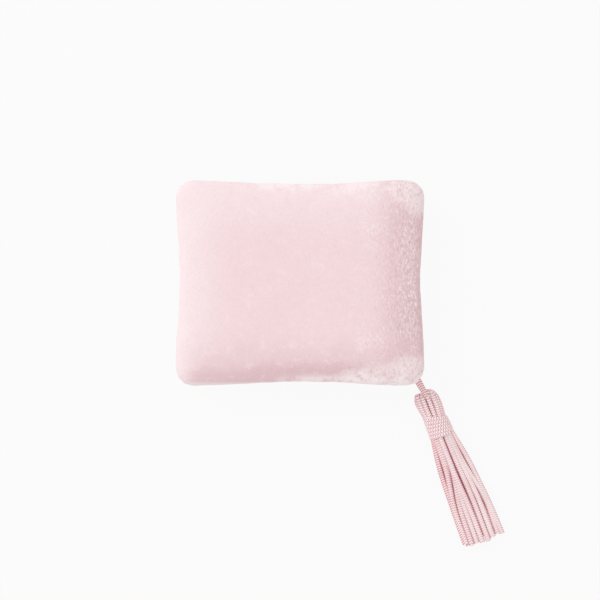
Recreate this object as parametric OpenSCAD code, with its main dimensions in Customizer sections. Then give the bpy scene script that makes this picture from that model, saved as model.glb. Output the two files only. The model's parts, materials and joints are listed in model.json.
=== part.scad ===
// Velvet-covered powder compact with a cord tassel.
// Millimetres. +Z up, -Y is the opening edge, +Y is the hinge edge.
// The origin is under the middle of the closed compact, on the surface it lies on.

/* [Case] */
// Width of the closed compact, side to side
case_w = 86.4; // [82:0.2:92]
// Depth of the closed compact, opening edge to hinge edge
case_d = 71.4; // [69:0.2:76]
// Height of the seam between base and lid
seam_z = 11; // [10.8:0.1:11.6]
// Height of the lid's padded crown above the seam
lid_h = 11; // [10.5:0.1:13]
// Radius of the corners seen from above
corner_r = 7; // [6.5:0.1:8]
// How far the left and right sides draw in at their middles
pinch_x = 1.2; // [0:0.1:1.4]
// How far the front and back sides draw in at their middles
pinch_y = 1.05; // [0:0.05:1.1]

/* [Cover and padding] */
// Thickness of the velvet
velvet_t = 0.7; // [0.5:0.05:0.8]
// Depth of padding outside the hard shell's walls
padding_t = 2.1; // [1.9:0.1:2.3]
// Wall of the hard shells
shell_t = 1.4; // [1.2:0.1:1.5]

/* [Hinge] */
// Radius of the hinge pin
pin_r = 0.55; // [0.5:0.05:0.6]
// Outside radius of the hinge barrels
barrel_r = 1.2; // [1.1:0.05:1.25]
// Length of the hinge
hinge_len = 40; // [30:1:44]
// Number of hinge barrels, base and lid by turns
barrels = 5; // [5:2:7]

/* [Inside] */
// Outside radius of the metal powder pan
pan_r = 22.9; // [20:0.1:23]
// Height of the powder pan
pan_h = 4.4; // [3.5:0.1:4.5]
// Width of the puff
puff_w = 18; // [16:0.2:18.4]
// Length of the puff
puff_len = 44; // [38:0.2:45]
// Width of the mirror
mirror_w = 68; // [67:0.5:69]
// Depth of the mirror
mirror_d = 50; // [48:0.5:50.2]
// Thickness of the mirror
mirror_t = 1.2; // [1:0.1:1.3]
// Radius of the closing magnets and their keepers
magnet_r = 1.9; // [1.5:0.1:2]

/* [Tassel] */
// Width of the flat hanging loop
loop_w = 2.4; // [2:0.1:2.6]
// Thickness of the flat hanging loop
loop_t = 1.3; // [1:0.1:1.4]
// Direction of the tassel from its pivot, in degrees from +X
tassel_angle = -68.5; // [-75:0.5:-60]
// Distance from the pivot to the cut ends
tassel_len = 53; // [45:0.5:60]
// Half the width of the cut ends
tassel_end_w = 8.1; // [7:0.1:9]
// Radius of the wrapped band
band_r = 4.4; // [4:0.1:4.6]

/* [Hidden] */

half_w = case_w / 2;
half_d = case_d / 2;
// Play left between pieces that lie against each other
play = 0.05;
// Half the gap at the seam, so that base and lid never touch
seam_gap = 0.15;
base_top = seam_z - seam_gap;
lid_bottom = seam_z + seam_gap;

// The padded edge rolls in by this much at the seam, down to the shell's inside
edge_run = velvet_t + padding_t + shell_t;
// The roll starts this far out from there, which leaves a narrow flat land round the mouth
land = 0.5;
// Height from the seam to the widest line of each half
base_side = base_top / 2;
lid_side = 5.35;
shell_inset = velvet_t + padding_t + play;
cavity_inset = edge_run + play;
insert_inset = cavity_inset + 2 * play;

// Outline steps: points in a corner's arc and along a side
arc_steps = 5;
side_steps = 6;

// Heights in the base
shell_floor_z = 2.4;
shell_floor_t = 1.2;
base_rim_z = base_top - 1.15;
deck_top = 10.6;
deck_t = 1;
well_floor_z = 4.3;
well_wall = 0.9;
adhesive_t = 0.2;
pan_z = well_floor_z + adhesive_t;
pan_wall = 0.4;
pan_x = -12;
puff_x = 24.2;
puff_z = well_floor_z + 0.1;
puff_t = 4.6;
backing_t = 0.4;
well_play = 0.5;

// Heights in the lid
lid_rim_z = lid_bottom + 1.15;
mirror_z = 13.6;
tape_t = 0.3;
lid_plate_z = mirror_z + mirror_t + tape_t + 2 * play;
lid_plate_t = 1.2;
lip_z = 12.5;
bezel_z = 11.4;
magnet_x = 16;
magnet_y = -27.8;

// Hinge axis
hinge_y = 33.5;
bore_r = pin_r + play;
barrel_gap = 0.2;
barrel_pitch = hinge_len / barrels;
hinge_room = barrel_r + 0.7;
mouth_back = half_d - cavity_inset - pinch_y - 1;
arm_from = half_d - shell_inset - pinch_y - 0.6;
arm_t = 1;

// Loop post inside the front right corner, and the pivot of the tassel
post_at = [35.4, -27.9];
post_r = 0.9;
loop_z = 8;
exit_angle = -46.9;
pivot = [44.5, -40.3, 7];
eye_in = 1.3;
eye_out = 2.5;
// Centre line of the loop, from the post to the tassel's pivot
loop_route = [
    [36.9, -29.5, 8], [38.4, -31.1, 8], [39.9, -32.7, 8], [41.3, -34.3, 7.9],
    [42.3, -36, 7.6], [43.1, -37.4, 7.3], [43.8, -38.7, 7.1]
];

velvet_colour = "#efd3d8";
foam_colour = "#f4eee6";
shell_colour = "#e9c9c6";
cord_colour = "#e7b9c1";

// ---- outlines and lofts ----

function ring_radius(inset) = max(corner_r - 0.6 * inset, 3);

function draw_in(along, reach, depth) =
    let(q = min(abs(along) / reach, 1)) depth * (1 + cos(180 * q)) / 2;

function pinched(p, hw, hd, r) = [
    p.x - sign(p.x) * draw_in(p.y, hd - r, pinch_x) * min(abs(p.x) / hw, 1),
    p.y - sign(p.y) * draw_in(p.x, hw - r, pinch_y) * min(abs(p.y) / hd, 1)
];

function corner_point(q, a, hw, hd, r) = [
    (q == 0 || q == 3 ? 1 : -1) * (hw - r) + r * cos(a),
    (q < 2 ? 1 : -1) * (hd - r) + r * sin(a)
];

// Rounded rectangle with drawn-in sides, moved in by inset all round
function outline(inset) =
    let(hw = half_w - inset, hd = half_d - inset, r = ring_radius(inset))
    [for (q = [0:3])
        let(
            arc = [for (k = [0:arc_steps]) corner_point(q, 90 * (q + k / arc_steps), hw, hd, r)],
            next = corner_point((q + 1) % 4, 90 * (q + 1), hw, hd, r),
            last = arc[arc_steps],
            side = [for (m = [1:side_steps - 1]) last + (next - last) * m / side_steps]
        )
        for (p = concat(arc, side)) pinched(p, hw, hd, r)];

function lifted(points, z) = [for (p = points) [p.x, p.y, z]];

function middle(ring) = [for (p = ring) 1] * ring / len(ring);

// Closed solid through a stack of rings that all have the same number of points.
// Each end is a fan about the ring's middle, because the rings can be concave.
module skin(rings) {
    n = len(rings[0]);
    last = len(rings) - 1;
    low_middle = n * len(rings);
    high_middle = low_middle + 1;
    polyhedron(
        points = concat([for (ring = rings, p = ring) p], [middle(rings[0]), middle(rings[last])]),
        faces = concat(
            [for (j = [0:n - 1]) [low_middle, j, (j + 1) % n]],
            [for (j = [0:n - 1]) [high_middle, last * n + (j + 1) % n, last * n + j]],
            [for (i = [0:last - 1], j = [0:n - 1])
                [i * n + j, (i + 1) * n + j, (i + 1) * n + (j + 1) % n, i * n + (j + 1) % n]]
        )
    );
}

module slab(inset, z0, z1) {
    translate([0, 0, z0]) linear_extrude(z1 - z0) polygon(outline(inset));
}

// Rolled edge from the seam to the widest line, as [inset, height above the seam]
function rolled_edge(skin_t, side_h) =
    [for (a = [0:15:90])
        [skin_t + (edge_run - land - skin_t) * (1 - sin(a)), skin_t + (side_h - skin_t) * (1 - cos(a))]];

crown_insets = [0.5, 1.6, 3.5, 7, 13, 22];
crown_reach = 34;
crown_power = 3.5;

function crown_height(inset) = pow(1 - pow(1 - inset / crown_reach, crown_power), 1 / crown_power);

// The lid's padded half, moved in by skin_t on every side
module lid_pillow(skin_t) {
    widest = lid_side;
    rise = lid_h - seam_gap - widest - skin_t;
    skin(concat(
        [for (e = rolled_edge(skin_t, lid_side)) lifted(outline(e[0]), lid_bottom + e[1])],
        [for (i = crown_insets)
            lifted(outline(skin_t + i), lid_bottom + widest + rise * crown_height(i))]
    ));
}

foot_run = 7;

// The base's padded half: its underside is flat inside foot_run
module base_pillow(skin_t) {
    drop = base_top - base_side - skin_t;
    sole = [for (a = [90:-18:18])
        lifted(outline(skin_t + foot_run * (1 - sin(a))), skin_t + drop * (1 - cos(a)))];
    foot = [lifted(outline(skin_t + foot_run), skin_t)];
    roll = rolled_edge(skin_t, base_side);
    edge = [for (i = [len(roll) - 2:-1:0])
        lifted(outline(roll[i][0]), base_top - roll[i][1])];
    skin(concat(foot, [for (i = [len(sole) - 1:-1:0]) sole[i]], edge));
}

// ---- shared cutters ----

// Room for the hinge barrels and their arms behind the shell walls
module hinge_clearance() {
    translate([-hinge_len / 2 - 0.4, mouth_back, seam_z - hinge_room])
        cube([hinge_len + 0.8, half_d, 2 * hinge_room]);
}

// Slot that the hanging loop leaves by, with room for its swing
module loop_channel(top = loop_z + 1) {
    low = loop_z - 1;
    translate([post_at.x, post_at.y, low]) {
        cylinder(r = eye_out + 0.3, h = top - low, $fn = 32);
        rotate([0, 0, exit_angle])
            linear_extrude(top - low) polygon([[0, -1.5], [14, -4.4], [14, 4.4], [0, 1.5]]);
    }
}

module stadium(w, l) {
    square([w, l - w], center = true);
    for (end = [-1, 1])
        translate([0, end * (l - w) / 2]) circle(d = w, $fn = 48);
}

module rounded_rect(w, d, r) {
    square([w - 2 * r, d], center = true);
    square([w, d - 2 * r], center = true);
    for (sx = [-1, 1], sy = [-1, 1])
        translate([sx * (w / 2 - r), sy * (d / 2 - r)]) circle(r = r, $fn = 32);
}

module plate(z, t) {
    translate([0, 0, z]) linear_extrude(t) children();
}

// ---- base ----

module base_cover() {
    color(velvet_colour) difference() {
        base_pillow(0);
        base_pillow(velvet_t);
        slab(shell_inset - play, shell_floor_z, base_rim_z + play);
        slab(cavity_inset, shell_floor_z, seam_z + 1);
        hinge_clearance();
        loop_channel();
    }
}

module base_padding() {
    color(foam_colour) difference() {
        base_pillow(velvet_t + play);
        slab(shell_inset - play, shell_floor_z - play, seam_z);
        hinge_clearance();
        loop_channel(seam_z);
    }
}

// Every second barrel of the hinge, starting with number first, each with its arm
module hinge_barrels(first, arm_z) {
    for (i = [first:2:barrels - 1])
        translate([-hinge_len / 2 + i * barrel_pitch + barrel_gap / 2, 0, 0]) {
            long = barrel_pitch - barrel_gap;
            rotate([90, 0, 90]) translate([hinge_y, seam_z, 0]) cylinder(r = barrel_r, h = long, $fn = 32);
            translate([0, arm_from, arm_z]) cube([long, hinge_y - arm_from, arm_t]);
        }
}

module hinge_bore() {
    rotate([90, 0, 90])
        translate([hinge_y, seam_z, -hinge_len]) cylinder(r = bore_r, h = 2 * hinge_len, $fn = 32);
}

module base_shell() {
    color(shell_colour) difference() {
        union() {
            difference() {
                slab(shell_inset, shell_floor_z, base_rim_z);
                slab(cavity_inset - play, shell_floor_z + shell_floor_t, seam_z);
            }
            hinge_barrels(0, seam_z - 1.8);
        }
        hinge_bore();
        loop_channel();
    }
}

module hinge_pin() {
    color("silver") rotate([90, 0, 90])
        translate([hinge_y, seam_z, -hinge_len / 2 + 0.3])
            cylinder(r = pin_r, h = hinge_len - 0.6, $fn = 32);
}

module well_outlines(grow) {
    translate([pan_x, 0]) circle(r = pan_r + well_play + grow, $fn = 96);
    translate([puff_x, 0]) stadium(puff_w + 2 * (well_play + grow), puff_len + 2 * (well_play + grow));
}

module inner_deck() {
    under = shell_floor_z + shell_floor_t + play;
    color("#f0d2cd") difference() {
        union() {
            slab(insert_inset, deck_top - deck_t, deck_top);
            difference() {
                slab(insert_inset, under + 2, deck_top - deck_t);
                slab(insert_inset + 1, 0, deck_top - deck_t);
            }
            plate(under, deck_top - under - deck_t / 2) well_outlines(well_wall);
            for (sx = [-1, 1])
                translate([sx * magnet_x, magnet_y, 7]) cylinder(r = magnet_r + 0.8, h = 3, $fn = 32);
        }
        plate(well_floor_z, deck_top) well_outlines(0);
        for (sx = [-1, 1])
            translate([sx * magnet_x, magnet_y, 0])
                cylinder(r = magnet_r + play, h = deck_top - deck_t, $fn = 32);
        loop_channel();
    }
}

module powder_pan() {
    color("#d9d9dc") translate([pan_x, 0, pan_z]) difference() {
        cylinder(r = pan_r, h = pan_h, $fn = 96);
        translate([0, 0, pan_wall]) cylinder(r = pan_r - pan_wall, h = pan_h, $fn = 96);
    }
}

module powder_cake() {
    color("#e8c3a8") translate([pan_x, 0, pan_z + pan_wall + play])
        rotate_extrude($fn = 96) polygon([
            [0, 0], [pan_r - pan_wall - play, 0], [pan_r - pan_wall - play, pan_h - 1.3],
            [pan_r - pan_wall - 1.2, pan_h - 0.9], [0, pan_h - 0.75]
        ]);
}

module pan_adhesive() {
    color("white") translate([pan_x, 0, well_floor_z]) cylinder(r = 15, h = adhesive_t, $fn = 64);
}

module closing_magnets() {
    color("silver") for (sx = [-1, 1])
        translate([sx * magnet_x, magnet_y, deck_top - deck_t - 2.1])
            cylinder(r = magnet_r, h = 2, $fn = 32);
}

module loop_post() {
    foot_z = shell_floor_z + shell_floor_t;
    color("silver") translate([post_at.x, post_at.y, foot_z]) {
        cylinder(r = post_r, h = deck_top - deck_t - play - foot_z, $fn = 32);
        cylinder(r = 1.8, h = 3, $fn = 32);
    }
}

// ---- lid ----

module lid_cover() {
    color(velvet_colour) difference() {
        lid_pillow(0);
        lid_pillow(velvet_t);
        slab(shell_inset - play, lid_rim_z - play, lid_plate_z + lid_plate_t);
        slab(cavity_inset, 0, lid_plate_z);
        hinge_clearance();
    }
}

module lid_padding() {
    color(foam_colour) difference() {
        lid_pillow(velvet_t + play);
        slab(shell_inset - play, 0, lid_plate_z + lid_plate_t + play);
        hinge_clearance();
    }
}

module lid_shell() {
    color(shell_colour) difference() {
        union() {
            difference() {
                slab(shell_inset, lid_rim_z, lid_plate_z + lid_plate_t);
                slab(cavity_inset - play, 0, lid_plate_z);
            }
            hinge_barrels(1, seam_z + 0.8);
        }
        hinge_bore();
    }
}

module mirror_bezel() {
    window_w = mirror_w - 3;
    window_d = mirror_d - 3;
    color("#f0d2cd") difference() {
        slab(insert_inset, bezel_z, mirror_z + mirror_t);
        plate(0, lid_plate_z) rounded_rect(window_w, window_d, 5);
        plate(mirror_z - play, 5) rounded_rect(mirror_w + 0.3, mirror_d + 0.3, 6);
        plate(0, lip_z) rounded_rect(window_w + 2, window_d + 2, 6);
        for (sx = [-1, 1])
            translate([sx * magnet_x, magnet_y, lip_z]) cylinder(r = magnet_r + play, h = 5, $fn = 32);
    }
}

module mirror() {
    color("#cfd8dc") plate(mirror_z, mirror_t) rounded_rect(mirror_w, mirror_d, 6);
}

module mirror_tape() {
    color("white") plate(mirror_z + mirror_t + play, tape_t) rounded_rect(mirror_w - 8, mirror_d - 8, 4);
}

module magnet_keepers() {
    color("silver") for (sx = [-1, 1])
        translate([sx * magnet_x, magnet_y, lip_z + play]) cylinder(r = magnet_r, h = 1, $fn = 32);
}

// ---- puff ----

module puff_pad() {
    color("#f6e3df") translate([puff_x, 0, 0]) plate(puff_z, puff_t) stadium(puff_w, puff_len);
}

module puff_backing() {
    color("#f3d9da") translate([puff_x, 0, 0])
        plate(puff_z + puff_t + play, backing_t) stadium(puff_w - 1.2, puff_len - 1.2);
}

module puff_ribbon() {
    color("#eebfc6") translate([puff_x, 0, puff_z + puff_t + backing_t + 3 * play])
        translate([-puff_w / 2 + 0.8, -5, 0]) cube([puff_w - 1.6, 10, 0.3]);
}

// ---- hanging loop ----

function direction(route, i) =
    let(n = len(route) - 1, d = route[min(i + 1, n)] - route[max(i - 1, 0)]) d / norm(d);

// Flat oval section square to the route, eight points
function section(route, i, w, t) =
    let(d = direction(route, i), side = [d.y, -d.x, 0] / norm([d.x, d.y]), up = cross(side, d))
    [for (a = [0:45:315]) route[i] + side * w / 2 * cos(a) - up * t / 2 * sin(a)];

module eye(z, inner, outer) {
    rim = loop_t + 0.1;
    translate([0, 0, z - rim / 2]) difference() {
        cylinder(r = outer, h = rim, $fn = 12);
        translate([0, 0, -rim]) cylinder(r = inner, h = 3 * rim, $fn = 12);
    }
}

module hanging_loop() {
    color(cord_colour) union() {
        skin([for (i = [0:len(loop_route) - 1]) section(loop_route, i, loop_w, loop_t)]);
        translate([post_at.x, post_at.y, 0]) eye(loop_z, post_r + 2 * play, eye_out);
        translate([pivot.x, pivot.y, 0]) eye(pivot.z, eye_in, eye_out);
    }
}

// ---- tassel, drawn along +X from its pivot and then turned ----

module at_pivot() {
    translate([pivot.x, pivot.y, 0]) rotate([0, 0, tassel_angle]) children();
}

// Oval ring across the tassel: distance along it, half width, half height, lowest point
function oval(s, half_width, half_height, low) =
    [for (a = [0:18:342]) [s, half_width * cos(a), low + half_height * (1 + sin(a))]];

function spread(q) = band_r - 0.3 + (tassel_end_w - band_r + 0.3) * pow(sin(90 * q), 0.85);

head_end = 7.1;
band_len = 7.2;
band_start = 7.2;
skirt_start = band_start + band_len + 0.1;

module tassel_head() {
    color(cord_colour) at_pivot() difference() {
        union() {
            difference() {
                skin([oval(-2.5, 2.6, 2.6, 2.2), oval(-1.6, 3.9, 3.7, 1), oval(0, 4.4, 4.3, 0.3),
                      oval(3, 4.5, 4.4, 0.15), oval(head_end, 4.2, 4.1, 0.4)]);
                translate([-6, -6, pivot.z - 0.9]) cube([9, 12, 1.8]);
            }
            translate([0, 0, 1.5]) cylinder(r = eye_in - 0.15, h = 6.6, $fn = 32);
        }
        translate([4.4, 0, 4.5]) rotate([0, 90, 0]) cylinder(r = 2.1, h = 6, $fn = 32);
    }
}

module tassel_core() {
    color("#d9a3ad") at_pivot() translate([4.6, 0, 4.5]) rotate([0, 90, 0])
        cylinder(r = 2, h = band_start + band_len - 5, $fn = 32);
}

module tassel_band() {
    color(cord_colour) at_pivot() difference() {
        translate([band_start, 0, band_r + 0.1]) rotate([0, 90, 0])
            cylinder(r = band_r, h = band_len, $fn = 48);
        translate([0, 0, 4.5]) rotate([0, 90, 0]) cylinder(r = 2.1, h = 40, $fn = 32);
    }
}

module tassel_skirt() {
    color(cord_colour) at_pivot() skin([for (q = [0:0.125:1])
        oval(skirt_start + (tassel_len - skirt_start) * q, spread(q), band_r - 0.4 - 1.7 * q, 0.1)]);
}

base_cover();
base_padding();
base_shell();
hinge_pin();
inner_deck();
powder_pan();
powder_cake();
pan_adhesive();
closing_magnets();
loop_post();
lid_cover();
lid_padding();
lid_shell();
mirror_bezel();
mirror();
mirror_tape();
magnet_keepers();
puff_pad();
puff_backing();
puff_ribbon();
hanging_loop();
tassel_head();
tassel_core();
tassel_band();
tassel_skirt();
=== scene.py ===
"""Velvet powder compact with a cord tassel: the visual model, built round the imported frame.

Lengths inside the builders are millimetres in the row frame; meshes are stored in metres.
"""

import json
import math

import bpy
import numpy as np
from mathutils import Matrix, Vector, noise
from mathutils.kdtree import KDTree


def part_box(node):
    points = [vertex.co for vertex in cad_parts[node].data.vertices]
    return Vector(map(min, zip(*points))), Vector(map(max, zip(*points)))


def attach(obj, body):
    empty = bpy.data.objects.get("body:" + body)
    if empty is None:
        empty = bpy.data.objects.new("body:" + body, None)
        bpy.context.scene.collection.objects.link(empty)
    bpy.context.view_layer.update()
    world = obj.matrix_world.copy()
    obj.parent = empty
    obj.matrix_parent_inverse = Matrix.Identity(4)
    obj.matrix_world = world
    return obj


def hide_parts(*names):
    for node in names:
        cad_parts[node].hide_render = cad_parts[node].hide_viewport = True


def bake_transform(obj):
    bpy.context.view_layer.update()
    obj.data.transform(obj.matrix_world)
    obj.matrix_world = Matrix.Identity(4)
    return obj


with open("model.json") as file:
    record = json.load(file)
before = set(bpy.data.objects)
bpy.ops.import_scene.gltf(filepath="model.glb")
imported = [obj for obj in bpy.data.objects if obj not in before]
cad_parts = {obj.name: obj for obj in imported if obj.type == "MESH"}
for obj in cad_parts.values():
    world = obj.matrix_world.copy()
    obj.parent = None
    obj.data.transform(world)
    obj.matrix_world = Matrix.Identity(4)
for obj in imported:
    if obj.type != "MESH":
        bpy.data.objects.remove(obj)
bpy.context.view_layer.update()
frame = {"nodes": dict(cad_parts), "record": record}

MM = 0.001
TAU = 2 * math.pi


# ---------------------------------------------------------------- the frame, in millimetres

def box_mm(node):
    low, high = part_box(node)
    return np.array(low) / MM, np.array(high) / MM


def joint(name):
    return next(j for j in frame["record"]["behaviour"]["joints"] if j["name"] == name)


LID_LOW, LID_HIGH = box_mm("lid_cover")
_, BASE_HIGH = box_mm("base_cover")
HALF_W = LID_HIGH[0]
HALF_D = LID_HIGH[1]
SEAM_Z = (LID_LOW[2] + BASE_HIGH[2]) / 2
PIVOT = np.array(joint("tassel_swivel")["pos_m"]) / MM


# ---------------------------------------------------------------- camera, floor and light

# The picture is this wide at the height of the seam, and centred a little in front of the case
VIEW_W = 210.0
VIEW_Y = -5.95
CAMERA_UP = 1500.0
SENSOR_W = 36
# The floor is dull and glows a little, which leaves it evenly pale with only a faint shadow
FLOOR_REACH_M = 3.0
FLOOR_TONE = 0.05
FLOOR_GLOW = 0.915
WORLD_LIGHT = 0.77


def make_camera():
    data = bpy.data.cameras.new("camera")
    data.sensor_width = SENSOR_W
    data.lens = SENSOR_W * CAMERA_UP / VIEW_W
    data.clip_start = 0.01
    data.clip_end = 20
    camera = bpy.data.objects.new("camera", data)
    camera.location = Vector((0, VIEW_Y, CAMERA_UP + SEAM_Z)) * MM
    bpy.context.collection.objects.link(camera)
    bpy.context.scene.camera = camera


def make_floor():
    mesh = bpy.data.meshes.new("floor")
    corners = [(-1, -1, 0), (1, -1, 0), (1, 1, 0), (-1, 1, 0)]
    mesh.from_pydata([Vector(corner) * FLOOR_REACH_M for corner in corners], [], [(0, 1, 2, 3)])
    floor = bpy.data.objects.new("floor", mesh)
    bpy.context.collection.objects.link(floor)
    material, _, shader = new_material("floor_white")
    shader.inputs["Base Color"].default_value = (FLOOR_TONE, FLOOR_TONE, FLOOR_TONE, 1)
    shader.inputs["Roughness"].default_value = 1.0
    shader.inputs["Specular IOR Level"].default_value = 0.0
    shader.inputs["Emission Color"].default_value = (1, 1, 1, 1)
    shader.inputs["Emission Strength"].default_value = FLOOR_GLOW
    mesh.materials.append(material)


def add_area(name, place, size, watts):
    """A square soft light, aimed at the middle of the frame."""
    data = bpy.data.lights.new(name, "AREA")
    data.shape = "SQUARE"
    data.size = size
    data.energy = watts
    light = bpy.data.objects.new(name, data)
    light.location = place
    light.rotation_euler = (-Vector(place)).to_track_quat("-Z", "Y").to_euler()
    bpy.context.collection.objects.link(light)


def make_lights():
    world = bpy.data.worlds.new("studio")
    world.use_nodes = True
    background = world.node_tree.nodes["Background"]
    background.inputs["Color"].default_value = (1, 1, 1, 1)
    background.inputs["Strength"].default_value = WORLD_LIGHT
    bpy.context.scene.world = world
    add_area("key", (-0.75, 0.55, 0.8), size=0.7, watts=5.0)
    add_area("fill", (0.8, -0.7, 0.9), size=1.0, watts=1.4)
    bpy.context.scene.view_settings.view_transform = "Standard"


# ---------------------------------------------------------------- material helpers

def new_material(name):
    material = bpy.data.materials.new(name)
    material.use_nodes = True
    tree = material.node_tree
    return material, tree, tree.nodes["Principled BSDF"]


def put(tree, value, socket):
    """Links a node's output to the socket, or sets the socket to a plain value."""
    if isinstance(value, bpy.types.NodeSocket):
        tree.links.new(value, socket)
    else:
        socket.default_value = value


def sums(tree, operation, *values):
    """A Math node's result."""
    node = tree.nodes.new("ShaderNodeMath")
    node.operation = operation
    for value, socket in zip(values, node.inputs):
        put(tree, value, socket)
    return node.outputs[0]


def grain(tree, place, size_mm, detail=3.0, roughness=0.55, distortion=0.0):
    """Noise from 0 to 1 whose features are about size_mm across."""
    node = tree.nodes.new("ShaderNodeTexNoise")
    put(tree, place, node.inputs["Vector"])
    node.inputs["Scale"].default_value = 1 / (size_mm * MM)
    node.inputs["Detail"].default_value = detail
    node.inputs["Roughness"].default_value = roughness
    node.inputs["Distortion"].default_value = distortion
    return node.outputs["Fac"]


def ramp(tree, value, start, end, low=0.0, high=1.0):
    """Eases from low to high as value goes from start to end."""
    node = tree.nodes.new("ShaderNodeMapRange")
    node.interpolation_type = "SMOOTHSTEP"
    put(tree, value, node.inputs["Value"])
    for socket, number in zip(("From Min", "From Max", "To Min", "To Max"), (start, end, low, high)):
        node.inputs[socket].default_value = number
    return node.outputs["Result"]


def mix(tree, factor, a, b):
    """Colour a where the factor is 0 and b where it is 1."""
    node = tree.nodes.new("ShaderNodeMix")
    node.data_type = "RGBA"
    put(tree, factor, node.inputs[0])
    put(tree, a, node.inputs[6])
    put(tree, b, node.inputs[7])
    return node.outputs[2]


def rgb(r, g, b):
    """An sRGB colour from 0 to 255, as linear light."""
    def linear(c):
        c = c / 255
        return c / 12.92 if c <= 0.04045 else ((c + 0.055) / 1.055) ** 2.4
    return (linear(r), linear(g), linear(b), 1.0)


def bump(tree, shader, height, distance_mm, strength=1.0):
    node = tree.nodes.new("ShaderNodeBump")
    node.inputs["Strength"].default_value = strength
    node.inputs["Distance"].default_value = distance_mm * MM
    put(tree, height, node.inputs["Height"])
    tree.links.new(node.outputs[0], shader.inputs["Normal"])


def object_place(tree):
    return tree.nodes.new("ShaderNodeTexCoord").outputs["Object"]


def attribute(tree, name):
    node = tree.nodes.new("ShaderNodeAttribute")
    node.attribute_name = name
    return node.outputs["Fac"]


def product(tree, *factors):
    """All the factors multiplied together."""
    result = factors[0]
    for factor in factors[1:]:
        result = sums(tree, "MULTIPLY", result, factor)
    return result


def strip(tree, value, foot_a, top_a, top_b, foot_b):
    """1 between top_a and top_b, falling to 0 at foot_a and foot_b."""
    return product(tree, ramp(tree, value, foot_a, top_a), ramp(tree, value, foot_b, top_b))


def spot(tree, u, v, at, reach):
    """1 in the middle of an oval patch, 0 outside it."""
    du = sums(tree, "MULTIPLY", sums(tree, "SUBTRACT", u, at[0]), 1 / reach[0])
    dv = sums(tree, "MULTIPLY", sums(tree, "SUBTRACT", v, at[1]), 1 / reach[1])
    square = sums(tree, "MULTIPLY_ADD", du, du, sums(tree, "MULTIPLY", dv, dv))
    return ramp(tree, square, 1.0, 0.15)


# ---------------------------------------------------------------- velvet and cord

# The side wall gives way to the top between these heights above the seam
TOP_FROM, TOP_FULL = 3.5, 5.6
# Painted crease shade runs in rings round a point this far in from both sides at the loop's corner, this
# far apart
CREASE_SHADE_IN = 12
CREASE_SHADE_PITCH = 1.25


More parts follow.
